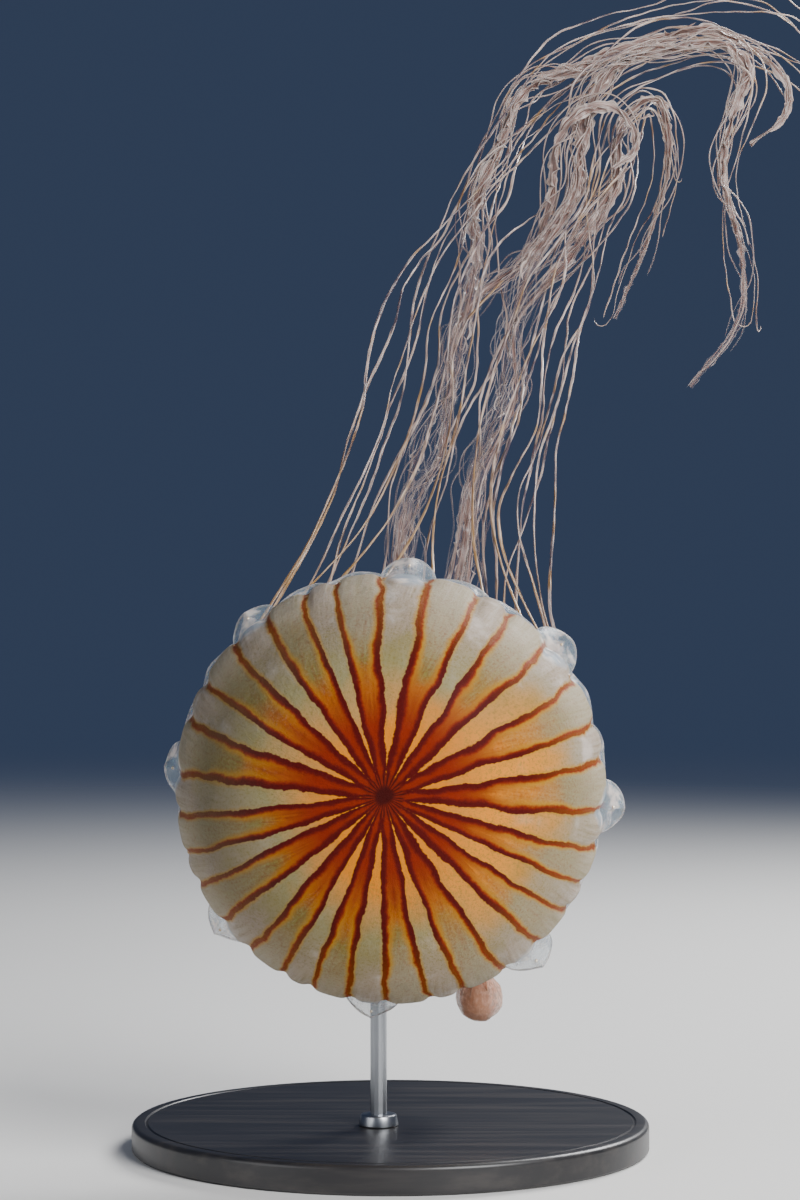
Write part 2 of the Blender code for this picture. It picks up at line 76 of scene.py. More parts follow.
# The bell's own frame: +Z leads to its crown, and z = 0 is the ring that its lappets grow from
BELL_CENTRE = Vector((0.0, -0.045, 0.156))
BELL_TILT = math.radians(2.5)
BELL_TURN = math.radians(-1.7)
BELL_RADIUS = 0.088
BELL_HEIGHT = 0.070
BELL_ROUNDNESS = 2.2
CROWN_THICKNESS = 0.018
EDGE_THICKNESS = 0.0016
LIP_SWELLING = 0.0006
INNER_FOLD = 0.0008

# Lappets: eight sense organs, each between two small lappets, with two broad lappets between pairs
FIRST_SENSE_ORGAN = math.radians(-5)
SENSE_ORGANS = 8
LAPPET_STEP = math.radians(15)
CLEFT_DEPTH = 0.003
BROAD_LAPPET = 0.009
BROAD_FLARE = 0.0018
SMALL_LAPPET = 0.012
SMALL_FLARE = 0.0105
FLARE_CHANGE = 0.2
FLARE_TURN = math.radians(-50)
FLARE_AT_MARGIN = 0.3
SENSE_NOTCH = 0.004
LAPPET_THINNING = 0.0010
LAPPET_RIM = 0.0003
LAPPET_ROWS = 10
RUFFLE_PACE = 8

# Markings: sixteen filled wedges, whose spacing strays by these waves: (reach, waves round, start)
WEDGES = 16
WEDGE_DRIFT = (
    (-0.013, 8, -8 * FIRST_SENSE_ORGAN), (0.020, 3, 0.6), (0.012, 5, 2.1), (0.065, 1, 0.5 * math.pi)
)
CROWN_OFFSET = 0.0041

# Mouth stalk in the bell's frame: the heights of its ends, and its radius above the lips
STALK_TOP = 0.054
STALK_END = 0.0035
STALK_RADIUS = 0.0145
STALK_SPREAD = 0.009
STALK_WAIST = 0.0022
STALK_RIPPLE = 0.0005
LIP_FOLD = 0.012

# How far the roots run in: mouth arms into the stalk, tentacles into the margin and towards its outside
MOUTH_ARMS = 4
ARM_ROOT = 0.007
TENTACLES = 24
TENTACLE_ROOT = 0.0035
TENTACLE_OUTSET = 0.0022

THREAD_STEP = 0.0024
WELD = 1e-6


def shade(code):
    """A screen colour such as "DED4BC" as linear red, green and blue."""
    parts = [int(code[k:k + 2], 16) / 255 for k in (0, 2, 4)]
    return tuple(c / 12.92 if c <= 0.04045 else ((c + 0.055) / 1.055) ** 2.4 for c in parts)


def colour(name, description, code):
    return FloatVectorProperty(
        name=name, description=description, default=shade(code), subtype="COLOR", min=0, max=1
    )


def number(name, description, default):
    return FloatProperty(name=name, description=description, default=default)


def count(name, description, default, least):
    return IntProperty(name=name, description=description, default=default, min=least)


def length(name, description, default):
    return FloatProperty(name=name, description=description, default=default, min=0, unit="LENGTH")


# Shader nodes ---------------------------------------------


def maths_method(operation, swapped=False):
    """A method of Socket that adds one Math node, with its values the other way round if swapped."""

    def method(self, *values):
        return self.finish.maths(operation, *((*values, self) if swapped else (self, *values)))

    return method


class Socket:
    """A node's output. Arithmetic between sockets and numbers adds Math nodes."""

    def __init__(self, finish, node, output):
        self.finish, self.node, self.output = finish, node, output

    __add__ = __radd__ = maths_method("ADD")
    __sub__ = maths_method("SUBTRACT")
    __rsub__ = maths_method("SUBTRACT", swapped=True)
    __mul__ = __rmul__ = maths_method("MULTIPLY")
    __truediv__ = maths_method("DIVIDE")
    __pow__ = maths_method("POWER")
    __abs__ = maths_method("ABSOLUTE")
    sine = maths_method("SINE")
    over = maths_method("MAXIMUM")  # the larger of this and another value

    def rise(self, low, high):
        """0 below low and 1 above high, smooth between; falls instead where low is above high."""
        settings = {"interpolation_type": "SMOOTHSTEP"}
        return self.finish.node("ShaderNodeMapRange", settings, {"Value": self, 1: low, 2: high})


class Finish:
    """A material, and the calls that add nodes to it."""

    def __init__(self, name, **shader):
        self.material = bpy.data.materials.new(name)
        self.material.use_nodes = True
        self.tree = self.material.node_tree
        self.shader = self.tree.nodes["Principled BSDF"]
        self.show(**shader)

    def plug(self, value, socket):
        if isinstance(value, Socket):
            self.tree.links.new(value.node.outputs[value.output], socket)
        elif socket.type == "RGBA":
            socket.default_value = (*value, 1)
        else:
            socket.default_value = value

    def node(self, kind, settings, inputs, output=0):
        made = self.tree.nodes.new(kind)
        for key, value in settings.items():
            setattr(made, key, value)
        for key, value in inputs.items():
            self.plug(value, made.inputs[key])
        return Socket(self, made, output)

    def maths(self, operation, *values):
        return self.node("ShaderNodeMath", {"operation": operation}, dict(enumerate(values)))

    def mix(self, share, a, b):
        return self.node("ShaderNodeMix", {"data_type": "RGBA"}, {0: share, 6: a, 7: b}, 2)

    def layers(self, tone, *laid):
        """The tone with each (share, colour) laid over it in turn."""
        for share, top in laid:
            tone = self.mix(share, tone, top)
        return tone

    def ramp(self, value, *stops):
        """Colours along a value, for each (place, colour)."""
        made = self.node("ShaderNodeValToRGB", {}, {0: value})
        elements = made.node.color_ramp.elements
        while len(elements) < len(stops):
            elements.new(0.5)
        for element, (place, tone) in zip(elements, stops):
            element.position = place
            element.color = (*tone, 1)
        return made

    def noise(self, where, scale, detail=2.0, roughness=0.5):
        inputs = {"Vector": where, "Scale": scale, "Detail": detail, "Roughness": roughness}
        return self.node("ShaderNodeTexNoise", {}, inputs)

    def scaled(self, where, size, turn=(0, 0, 0), place=(0, 0, 0)):
        inputs = {"Vector": where, "Location": place, "Rotation": turn, "Scale": size}
        return self.node("ShaderNodeMapping", {}, inputs)

    def place(self):
        return self.node("ShaderNodeTexCoord", {}, {}, "Object")

    def vector(self, x, y, z=0.0):
        return self.node("ShaderNodeCombineXYZ", {}, {0: x, 1: y, 2: z})

    def split(self, vector):
        x = self.node("ShaderNodeSeparateXYZ", {}, {0: vector})
        return x, Socket(self, x.node, 1), Socket(self, x.node, 2)

    def own_map(self):
        """(around or across, along) of a piece's own map, from 0 to 1."""
        return self.split(self.node("ShaderNodeUVMap", {"uv_map": "map"}, {}))[:2]

    def relief(self, height, strength, distance, under=None):
        inputs = {"Height": height, "Strength": strength, "Distance": distance}
        if under:
            inputs["Normal"] = under
        return self.node("ShaderNodeBump", {}, inputs)

    def show(self, **surface):
        for key, value in surface.items():
            title = key.replace("_", " ").title().replace("Ior", "IOR")
            self.plug(value, self.shader.inputs[title])
        return self.material


# Mesh helpers ---------------------------------------------


def bell_matrix():
    """Bell space to the model's frame."""
    turn = Matrix.Rotation(BELL_TURN, 4, "Z")
    lay_over = Matrix.Rotation(math.radians(90) + BELL_TILT, 4, "X")
    return Matrix.Translation(BELL_CENTRE) @ turn @ lay_over


def grid_shape(across, along, place):
    """A bmesh grid whose points go where place(u, v) says, with u and v from 0 to 1 kept as its map."""
    shape = bmesh.new()
    shape.loops.layers.uv.new("map")
    bmesh.ops.create_grid(shape, x_segments=across, y_segments=along, size=1, calc_uvs=True)
    for vertex in shape.verts:
        u, v = 0.5 * (vertex.co.x + 1), 0.5 * (vertex.co.y + 1)
        vertex.co = place(u, v)
    return shape


def add_piece(name, shape, materials):
    """The bmesh as a shaded object in the scene, riding on the model's one body."""
    mesh = bpy.data.meshes.new(name)
    shape.to_mesh(mesh)
    shape.free()
    mesh.shade_smooth()
    made = bpy.data.objects.new(name, mesh)
    for material in materials:
        mesh.materials.append(material)
    bpy.context.scene.collection.objects.link(made)
    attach(made, "root")
    return made


def joined(shapes):
    """One bmesh that holds all the given ones, which it frees."""
    whole = bmesh.new()
    for shape in shapes:
        part = bpy.data.meshes.new("part")
        shape.to_mesh(part)
        shape.free()
        whole.from_mesh(part)
        bpy.data.meshes.remove(part)
    return whole


def closed(shape):
    bmesh.ops.remove_doubles(shape, verts=shape.verts, dist=2 * WELD)
    bmesh.ops.recalc_face_normals(shape, faces=shape.faces)
    return shape


def rolled_shape(around, along, place):
    """A grid rolled into a tube, joined along its seam, with its two ends filled."""
    shape = grid_shape(around, along, place)
    bmesh.ops.remove_doubles(shape, verts=shape.verts, dist=WELD)
    bmesh.ops.holes_fill(shape, edges=shape.edges, sides=around)
    bmesh.ops.recalc_face_normals(shape, faces=shape.faces)
    return shape


def turned(radius, angle, height):
    """The point at a radius and an angle round the Z axis."""
    return Vector((radius * math.cos(angle), radius * math.sin(angle), height))


def smooth_step(low, high, value):
    t = min(max((value - low) / (high - low), 0.0), 1.0)
    return t * t * (3 - 2 * t)


# Bell -----------------------------------------------------


def outer_point(latitude):
    """(radius, height) on the bell's outer side, from 0 at the crown to 1 at the margin."""
    a = 0.5 * math.pi * latitude
    power = 2 / BELL_ROUNDNESS
    return BELL_RADIUS * math.sin(a) ** power, BELL_HEIGHT * max(0.0, math.cos(a)) ** power


def inner_point(latitude):
    """The same on the inner side: the jelly is thick at the crown and thin at the margin."""
    a = 0.5 * math.pi * latitude
    radius, height = outer_point(latitude)
    thickness = EDGE_THICKNESS + (CROWN_THICKNESS - EDGE_THICKNESS) * math.cos(a) ** 2
    normal = Vector((math.sin(a) * BELL_HEIGHT, math.cos(a) * BELL_RADIUS)).normalized()
    return radius - thickness * normal.x, height - thickness * normal.y


def lappet_at(angle):
    """(reach, flare, small) of the margin at an angle: small is 1 on the pairs of small lappets.

    Those flare most at the angle FLARE_TURN and least across from it.
    """
    share = (angle - FIRST_SENSE_ORGAN) / LAPPET_STEP + 0.5
    place = share % 3
    if place < 1:
        lobe = abs(math.sin(2 * math.pi * place)) ** 0.7
        bulge = math.sin(math.pi * place)
        reach = CLEFT_DEPTH + SENSE_NOTCH * bulge + (SMALL_LAPPET - SENSE_NOTCH) * lobe
        most = SMALL_FLARE * (1 - FLARE_CHANGE + FLARE_CHANGE * math.cos(angle - FLARE_TURN))
        return reach, most * bulge**0.7, 1.0
    bulge = math.sin(math.pi * (place % 1)) ** 0.8
    return CLEFT_DEPTH + BROAD_LAPPET * bulge, BROAD_FLARE * bulge, 0.0


class BellSettings(bpy.types.PropertyGroup):
    steps: count("Steps round", "Faces round the bell", 480, 96)
    rows: count("Rows", "Rows from crown to margin", 56, 16)
    filled: number("Filled", "Half the width of a filled wedge, in spacings of the wedges", 0.295)
    pleat: length("Pleat depth", "How far the margin is drawn in at each ray", 0.0020)
    pinch: length("Pleat width", "Half the width of a pleat", 0.0028)
    ruffle: length("Ruffle depth", "How far the lappets' edges ruffle", 0.0016)
    ray: colour("Rays", "Dark outer edge of the rays", "500200")
    ray_core: colour("Crown spot", "Darkest ink at the crown", "3E0400")
    rust: colour("Rust", "Inner edge of the rays", "801E00")
    ochre: colour("Ochre", "Golden fringe of the rays", "B4841A")
    amber: colour("Amber", "Glow beside the rays", "A05604")
    ember: colour("Ember", "Filled wedges near the crown", "7C1E00")
    olive: colour("Olive", "Filled wedges further out", "807236")
    moss: colour("Moss", "Filled wedges near the margin", "A1967A")
    cream: colour("Cream", "Pale wedges half way out", "918760")
    fawn: colour("Fawn", "Pale wedges near the margin", "A3917E")
    gold: colour("Gold", "Pale wedges near the crown", "DA800C")
    # Glow is painted light: it brightens the pale wedges on the bell's right side, where the light falls.
    glow: colour("Glow", "Brightest stretch of the pale wedges", "EA9020")
    # Painted shade: the bell's left side, away from the light, is darkened towards this colour.
    shadow: colour("Dusk", "Duller side of the bell", "34382E")
    glass: colour("Margin", "Clear jelly of the lappets", "A3B6C6")
    wisp: colour("Wisps", "Milky wisps in the clear jelly", "EADFD8")


def wedge_turn(angle, sine):
    """Turns of the markings at an angle round the bell: whole numbers are the filled wedges' middles."""
    drift = sum(reach * sine(waves * angle + start) for reach, waves, start in WEDGE_DRIFT)
    return (angle - FIRST_SENSE_ORGAN + drift) * (WEDGES / (2 * math.pi)) + 0.5


def bell_profile(rows):
    """(kind, share) of each row from the crown, over the margin and lappets, to the inner pole."""
    found = [("outer", k / rows) for k in range(rows)]
    found += [("front", k / LAPPET_ROWS) for k in range(LAPPET_ROWS)]
    found += [("back", 1 - k / LAPPET_ROWS) for k in range(LAPPET_ROWS + 1)]
    found += [("inner", 1 - k / (rows // 2)) for k in range(1, rows // 2 + 1)]
    return found


def lip_row(rows):
    """Where the lappets' edge lies on the bell's map, from 0 at the crown to 1 at the inner pole."""
    found = bell_profile(rows)
    return next(k for k, row in enumerate(found) if row[0] == "back") / (len(found) - 1)


def bell_point(kind, share, angle, settings):
    """A point of the bell in its own frame."""
    cell = wedge_turn(angle, math.sin) % 1
    past_line = (0.5 - abs(cell - 0.5) - settings.filled) * 2 * math.pi * BELL_RADIUS / WEDGES
    pinch = settings.pleat * math.exp(-((past_line / settings.pinch) ** 2))
    if kind == "outer":
        radius, height = outer_point(share)
        radius -= pinch * smooth_step(0.55, 1.0, share)
        radius += LIP_SWELLING * math.exp(-(((1 - share) / 0.012) ** 2))
    elif kind == "inner":
        radius, height = inner_point(share)
        fold = math.cos(2 * WEDGES * angle) * math.sin(math.pi * min(share * 1.15, 1)) ** 2
        radius -= INNER_FOLD * fold
    else:
        reach, flare, small = lappet_at(angle)
        thickness = EDGE_THICKNESS - LAPPET_THINNING * smooth_step(0, 0.5, share)
        thickness += LAPPET_RIM * smooth_step(0.8, 0.95, share)
        radius = BELL_RADIUS + LIP_SWELLING * (1 - share) ** 8 - pinch * (1 - share)
        gate = FLARE_AT_MARGIN * (1 - share) ** 2 + 1 - (1 - share) ** 2 if small else share**1.5
        radius += flare * gate * (share**0.25 if small else 1)
        radius += settings.ruffle * noise.noise(turned(RUFFLE_PACE, angle, share)) * share
        height = -reach * share
        if kind == "back":
            radius -= thickness
    return turned(radius, angle, height)


def jelly_coordinates(finish):
    """Place, height, radius and angle in the bell's own frame, in millimetres.

    The radius and the angle are read about a centre that lies a little above the crown.
    """
    inverse = bell_matrix().inverted()
    scale = 1 / MM
    where = finish.scaled(
        finish.place(), (scale,) * 3, tuple(inverse.to_euler()), tuple(inverse.translation * scale)
    )
    x, y, z = finish.split(where)
    inward = 1 - (x * x + y * y) / (BELL_RADIUS / MM) ** 2
    y = y - CROWN_OFFSET / MM * inward.over(0)
    radius = (x * x + y * y) ** 0.5
    return where, z, radius, finish.maths("ARCTAN2", y, x)


class BellField:
    """Where a point of the bell lies, and the noises that its colours share."""

    def __init__(self, made):
        self.where, self.z, self.radius, self.angle = jelly_coordinates(made)
        self.out = self.radius / (BELL_RADIUS / MM)
        self.cell = made.maths("PINGPONG", wedge_turn(self.angle, Socket.sine) + 2 * WEDGES, 0.5)
        self.quick = made.noise(self.where, 0.15, 1.5) - 0.5
        self.jagged = made.noise(self.where, 0.7, 2.0, 0.6) - 0.5
        self.stipple = made.noise(self.where, 0.9, 4.0, 0.8)
        self.cloud = made.noise(self.where, 0.045, 3.0, 0.6)
        spiral = self.angle + 0.003 * self.radius
        spokes = made.vector(
            50 * (spiral + 0.5 * math.pi).sine(), 50 * spiral.sine(), 0.09 * self.radius
        )
        self.streaks = made.noise(spokes, 1.0, 3.0, 0.65)
        # Painted light: painted_light_side is highest on the bell's right side, where the light falls,
        # and none near the crown; painted_light_share is its bright part away from the crown.
        self.painted_light_side = (self.angle + 1.75).sine() * self.out.rise(0.1, 0.5)
        broad = made.noise(self.where, 0.016, 1.0) - 0.5
        self.reach = self.out + 0.30 * (self.cloud - 0.5) + 0.5 * broad
        self.painted_light_share = self.painted_light_side.rise(0.35, 1.0) * self.reach.rise(0.30, 0.50)


def wedge_depth(made, settings, field):
    """How far inside a filled wedge a point lies, in millimetres and in widths of its dark line."""
    out = field.out
    half = settings.filled + 0.16 * (1 - out).over(0) ** 2.2 + 0.12 * out.rise(0.26, 0.08)
    slow = made.noise(field.where, 0.045, 1.0) - 0.5
    strayed = 4.5 * slow * out.rise(0.05, 0.45) + 1.8 * field.quick + 1.2 * field.jagged
    depth = field.radius * (2 * math.pi / WEDGES) * (half - field.cell) + strayed
    line = 1.3 + 0.3 * out.rise(0.5, 0.25) - 0.35 * out.rise(0.6, 1.0)
    line = line + 0.7 * (made.noise(field.where, 0.08, 1.0) - 0.5)
    return depth, depth / (line * (0.3 + 0.7 * out.rise(0.05, 0.24)))


def ray_tone(made, settings, out, share):
    """The dark line along a wedge's edge, with a rusty inner side and a golden fringe."""
    core = made.mix(out.rise(0.60, 1.0) * 0.65, settings.ray, settings.amber)
    halo = made.mix(out.rise(0.30, 0.58), settings.rust, settings.amber)
    halo = made.mix(out.rise(0.45, 0.75) * share.rise(1.6, 2.8), halo, settings.ochre)
    tone = made.mix(share.rise(0.9, 2.1), core, settings.rust)
    return made.mix(share.rise(1.5, 2.5), tone, halo)


def wedge_tone(made, settings, field):
    """Filled wedges: ember near the crown, then amber, olive and moss, streaked from the crown."""
    out, reach, stipple = field.out, field.reach, field.stipple
    veins = (field.streaks - 0.42).over(0)
    tone = made.ramp(
        reach, (0.36, settings.ember), (0.49, settings.amber), (0.60, settings.olive),
        (0.90, settings.moss),
    )
    return made.layers(
        tone,
        # Painted light: gold and cream laid over the filled wedges on the bell's right side, where the
        # light falls.
        (0.75 * field.painted_light_share * reach.rise(0.80, 0.58), settings.gold),
        (0.6 * field.painted_light_share * out.rise(0.62, 0.88), settings.cream),
        (veins * 3.0 * out.rise(0.75, 0.25), settings.ray),
        (veins * out.rise(1.05, 0.7), settings.rust),
        (stipple.rise(0.48, 0.66) * 0.3 * out.rise(0.4, 0.7), settings.fawn),
        (stipple.rise(0.50, 0.36) * 0.35, settings.rust),
        (out.rise(0.84, 0.99) * (field.streaks - 0.30).over(0) * 0.6, settings.wisp),
    )


def pale_tone(made, settings, field, depth):
    """Pale wedges: gold near the crown, then cream and fawn, clouded and whitened at the margin."""
    out, reach, streaks, cloud = field.out, field.reach, field.streaks, field.cloud
    tone = made.ramp(
        # Painted light: the ramp leans towards gold on the lit right side and towards fawn on the left.
        reach - 0.08 * field.painted_light_side, (0.28, settings.gold), (0.59, settings.cream),
        (0.90, settings.fawn),
    )
    return made.layers(
        tone,
        # Painted light: the glow colour brightens the pale wedges on the right side.
        (0.8 * field.painted_light_share * reach.rise(0.88, 0.62), settings.glow),
        ((streaks - 0.5).over(0), settings.olive),
        (field.stipple.rise(0.52, 0.36) * 0.6 * out.rise(0.2, 0.5), settings.olive),
        (cloud.rise(0.50, 0.32) * out.rise(0.4, 0.65) * 0.35, settings.olive),
        (cloud.rise(0.54, 0.70) * out.rise(0.5, 0.9) * 0.45, settings.wisp),
        (out.rise(0.78, 0.98) * (streaks - 0.30).over(0) * 0.9, settings.wisp),
        (depth.rise(-1.5, 0.0) * (0.1 + 0.7 * out.rise(0.45, 0.9)), settings.ochre),
    )


def crown_tone(made, settings, field, tone):
    """The tone with the dark spot and its spokes laid over the crown."""
    spokes = 0.3 + 0.7 * abs(field.cell - 0.29 + 0.12 * field.jagged).rise(0.19, 0.02)
    spokes = spokes.over((field.radius + 6 * field.quick).rise(6.0, 2.0))
    spot = made.mix(spokes, settings.rust, settings.ray_core)
    edge = field.radius + 5 * field.quick + 2 * field.jagged
    return made.mix(edge.rise(9.5, 6.5), tone, spot)


def margin_share(made, field, inked):
    """Share of clear jelly: 1 on the lappets, less on the patches over the sense organs, else 0."""
    turns = (field.angle - FIRST_SENSE_ORGAN) * (SENSE_ORGANS / (2 * math.pi))
    aside = made.maths("PINGPONG", turns + SENSE_ORGANS, 0.5)
    aside = aside * (2 * math.pi * BELL_RADIUS / MM / SENSE_ORGANS) / 9.5
    over_organ = aside * aside + (field.z / 24.0) ** 2 + 0.8 * (field.cloud - 0.5)
    patches = 0.85 * over_organ.rise(1.1, 0.25) * (1 - 0.85 * inked)
    return field.z.rise(1.0, -1.5).over(patches)


def bell_finish(settings, inside):
    """Rays, wedges and clear lappets. Inside, the same markings show through paler and softer."""
    made = Finish(
        "bell_inside" if inside else "bell_outside", subsurface_weight=0.12,
        subsurface_radius=(1.0, 0.5, 0.25), subsurface_scale=0.003, coat_roughness=0.35,
        coat_weight=0.04, ior=1.34, specular_ior_level=0.2,
    )
    field = BellField(made)
    where, out, z = field.where, field.out, field.z
    depth, share = wedge_depth(made, settings, field)
    soft = 0.8 if inside else 0.2
    filled = depth.rise(-soft, soft)
    inward = share / (3.4 + 3.4 * (1 - out).over(0))
    ray = ray_tone(made, settings, out, share)
    wedge = made.mix(inward.rise(1.0, 0.4), wedge_tone(made, settings, field), ray)
    tone = made.mix(filled, pale_tone(made, settings, field, depth), wedge)
    tone = crown_tone(made, settings, field, tone)
    # Painted shade: the bell's left side, which the light doesn't reach, is darkened towards the dusk
    # colour, more where the cloud noise is high.
    painted_shade_share = (field.angle - 1.3).sine().over(0) * out.rise(0.45, 0.85) * (0.6 + 0.8 * field.cloud)
    tone = made.mix(painted_shade_share * (0.62 - 0.25 * out.rise(0.8, 0.95)), tone, settings.shadow)
    tone = made.mix(z.rise(9.0, 1.0) * 0.15, tone, settings.fawn)
    margin = margin_share(made, field, filled * share.rise(3.4, 1.6))
    wisps = made.noise(where, 0.11, 3.0, 0.6).rise(0.46, 0.68)
    # Painted highlight: a thin band along the lappets' edge is whitened towards the wisp colour.
    rim = abs(made.own_map()[1] - lip_row(settings.rows)).rise(0.024, 0.004)
    tone = made.mix(margin, tone, made.mix(wisps.over(rim), settings.glass, settings.wisp))
    if inside:
        tone = made.mix(0.5, tone, settings.cream)
    clear = 0.34 + 0.38 * wisps + 0.4 * z.rise(0.0, 3.0) + 0.45 * rim
    alpha = 1 - margin * (1 - clear) - 0.12 * out.rise(0.8, 1.0) * (1 - filled)
    body = 1 - margin
    bumps = made.relief(made.noise(where, 0.11, 2.0), 0.30 * body + 0.06, 0.004)
    bumps = made.relief(field.stipple, 0.6 * body + 0.05, 0.0009, bumps)
    if not inside:
        ridge = field.streaks + filled * inward.rise(0.6, 0.0) * 0.8
        bumps = made.relief(ridge, 0.4 * body, 0.0006, bumps)
    rough = 0.48 + 0.2 * made.noise(where, 0.2, 2.0) - 0.32 * margin
    return made.show(base_color=tone, alpha=alpha, roughness=rough, normal=bumps)


class JELLYFISH_OT_bell(bpy.types.Operator):
    """Adds the bell with its lappets"""

    bl_idname = "jellyfish.bell"
    bl_label = "Bell"

    def execute(self, context):
        settings = context.scene.jellyfish_bell
        rows = bell_profile(settings.rows)
        last = len(rows) - 1
        start = FIRST_SENSE_ORGAN + 0.5 * LAPPET_STEP
        frame_of_bell = bell_matrix()

        def place(u, v):
            kind, share = rows[round(v * last)]
            return frame_of_bell @ bell_point(kind, share, start + 2 * math.pi * u, settings)

        shape = grid_shape(settings.steps, last, place)
        layer = shape.loops.layers.uv.active
        lip = lip_row(settings.rows)
        for face in shape.faces:
            middle = sum(loop[layer].uv.y for loop in face.loops) / len(face.loops)
            face.material_index = int(middle > lip)
        finishes = [bell_finish(settings, inside) for inside in (False, True)]
        made = add_piece("bell_skin", closed(shape), finishes)
        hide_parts("bell")
        return {"FINISHED"}


class JELLYFISH_OT_sense_organs(bpy.types.Operator):
    """Adds the eight small sense organs, each on the back of its pair of small lappets"""

    bl_idname = "jellyfish.sense_organs"
    bl_label = "Sense organs"

    def execute(self, context):
        shapes = []
        for index in range(SENSE_ORGANS):
            angle = FIRST_SENSE_ORGAN + index * 2 * math.pi / SENSE_ORGANS
            spot = bell_point("back", 0.42, angle, context.scene.jellyfish_bell)
            shape = bmesh.new()
            bmesh.ops.create_uvsphere(shape, u_segments=12, v_segments=8, radius=0.0008)
            bmesh.ops.scale(shape, vec=(0.8, 0.8, 1.7), verts=shape.verts)
            for vertex in shape.verts:
                vertex.co += vertex.co * 0.25 * noise.noise(vertex.co * 1500)
            bmesh.ops.transform(shape, matrix=bell_matrix() @ Matrix.Translation(spot), verts=shape.verts)
            shapes.append(shape)
        finish = Finish("sense_organ", coat_weight=0.6, coat_roughness=0.1)
        grain = finish.noise(finish.place(), 1800.0, 2.0)
        tone = finish.ramp(grain, (0.35, shade("C89A5A")), (0.6, shade("FFF6E4")))
        finish.show(base_color=tone, roughness=0.3)
        made = add_piece("sense_organs", joined(shapes), [finish.material])
        return {"FINISHED"}


# Strands --------------------------------------------------


def node_rings(name, corners, start):
    """The rings of points along a CAD strand, from the end nearest to start, each an array of points."""
    shape = bmesh.new()
    shape.from_mesh(frame["nodes"][name].data)
    bmesh.ops.remove_doubles(shape, verts=shape.verts, dist=WELD)
    ring = sorted(shape.verts, key=lambda vertex: (vertex.co - start).length)[:corners]
    seen, rings = set(ring), []
    while ring:
        rings.append(np.array([vertex.co for vertex in ring]))
        near = {edge.other_vert(vertex) for vertex in ring for edge in vertex.link_edges}
        ring = sorted(near - seen, key=lambda vertex: vertex.index)
        seen |= near
    shape.free()
    return rings


def strand_rings(name, corners):
    """The rings of a strand's two lengths, without the pair at the cut between them."""
    ahead_of_bell = bell_matrix() @ Vector((0, 0, 1))
    near = node_rings(f"{name}_a", corners, ahead_of_bell)
    far = node_rings(f"{name}_b", corners, Vector(near[-1].mean(axis=0)))
    return near[:-1] + far[1:]


def smooth_path(points, step):
    """Points a step apart on a smooth curve through the given ones."""
    p = np.asarray(points, float)
    runs = np.linalg.norm(np.diff(p, axis=0), axis=1)
    ends = np.vstack([2 * p[0] - p[1], p, 2 * p[-1] - p[-2]])
    before = np.concatenate([[runs[0]], runs])[:, None]
    after = np.concatenate([runs, [runs[-1]]])[:, None]
    slope = (ends[1:-1] - ends[:-2]) / before * after + (ends[2:] - ends[1:-1]) / after * before
    slope /= before + after
    found = []
    for k, run in enumerate(runs):
        t = np.linspace(0, 1, max(4, int(run / step * 2)), endpoint=False)[:, None]
        found.append(
            (2 * t**3 - 3 * t**2 + 1) * p[k] + (t**3 - 2 * t**2 + t) * run * slope[k]
            + (3 * t**2 - 2 * t**3) * p[k + 1] + (t**3 - t**2) * run * slope[k + 1]
        )
    return resampled(np.vstack(found + [p[-1:]]), step)


def unit(vectors):
    """The same directions with a length of one."""
    return vectors / np.linalg.norm(vectors, axis=-1, keepdims=True)


def lengths_along(curve):
    return np.concatenate([[0], np.cumsum(np.linalg.norm(np.diff(curve, axis=0), axis=1))])


def resampled(curve, step):
    along = lengths_along(curve)
    at = np.linspace(0, along[-1], max(4, int(along[-1] / step)))
    return np.stack([np.interp(at, along, curve[:, k]) for k in range(3)], axis=1)


def frames_along(path, first_side):
    """(heading, side, other side) at each point of a path, turning as little as they can."""
    heading = unit(np.gradient(path, axis=0))
    side = np.asarray(first_side, float)
    sides = []
    for direction in heading:
        side = unit(side - side.dot(direction) * direction)
        sides.append(side)
    sides = np.array(sides)
    return heading, sides, np.cross(heading, sides)


def waves(along, draw, *sizes):
    """Sideways waves along a strand: for each (reach, wavelength), a sine whose pace drifts."""
    total = np.zeros_like(along)
    for reach, wavelength in sizes:
        start, drift = draw.uniform(0, 2 * math.pi, 2)
        pace = 2 * math.pi * along / wavelength + 2 * np.sin(along / (2.4 * wavelength) + drift)
        total += reach * np.sin(pace + start)
    return total


def tube_shape(path, radius, side, other, faces_round, flat, twist):
    """A closed strand along a path, flattened and turned by shares and angles given per point."""
    last = len(path) - 1
    along = lengths_along(path)
    ends = np.clip((along[-1] - along) / (2 * radius[-1]), 0, 1) ** 0.5

    def place(u, v):
        k = round(v * last)
        angle = 2 * math.pi * u
        x = math.cos(angle) * radius[k] * ends[k]
        y = math.sin(angle) * radius[k] * ends[k] * flat[k]
        c, s = math.cos(twist[k]), math.sin(twist[k])
        return Vector(path[k] + (c * x - s * y) * side[k] + (s * x + c * y) * other[k])

    return rolled_shape(faces_round, last, place)


class TentacleSettings(bpy.types.PropertyGroup):
    step: length("Step", "Distance between points along a tentacle", 0.0022)
    sides: count("Sides", "Faces round a tentacle", 8, 5)
    slim: number("Slimness", "Share of the solid's radius", 0.68)
    ripple: length("Ripple", "How far a tentacle's fine waves reach", 0.00028)
    hook: length("Curled end", "Radius of the hooks at some tips", 0.0040)
    pearl: colour("Pearl", "Main colour", "BEABA2")
    mauve: colour("Mauve", "Shaded stretches", "5A4C54")
    tan: colour("Tan", "Warm tint", "A67C30")


def hook_points(stations, radius, draw):
    """Four more points that curl a strand's end round to one side."""
    heading = unit(stations[-1] - stations[-2])
    side = unit(np.cross(heading, draw.normal(size=3)))
    turns = np.array((0.7, 1.4, 2.1, 2.8))[:, None]
    return stations[-1] + radius * (np.sin(turns) * heading + (1 - np.cos(turns)) * side)


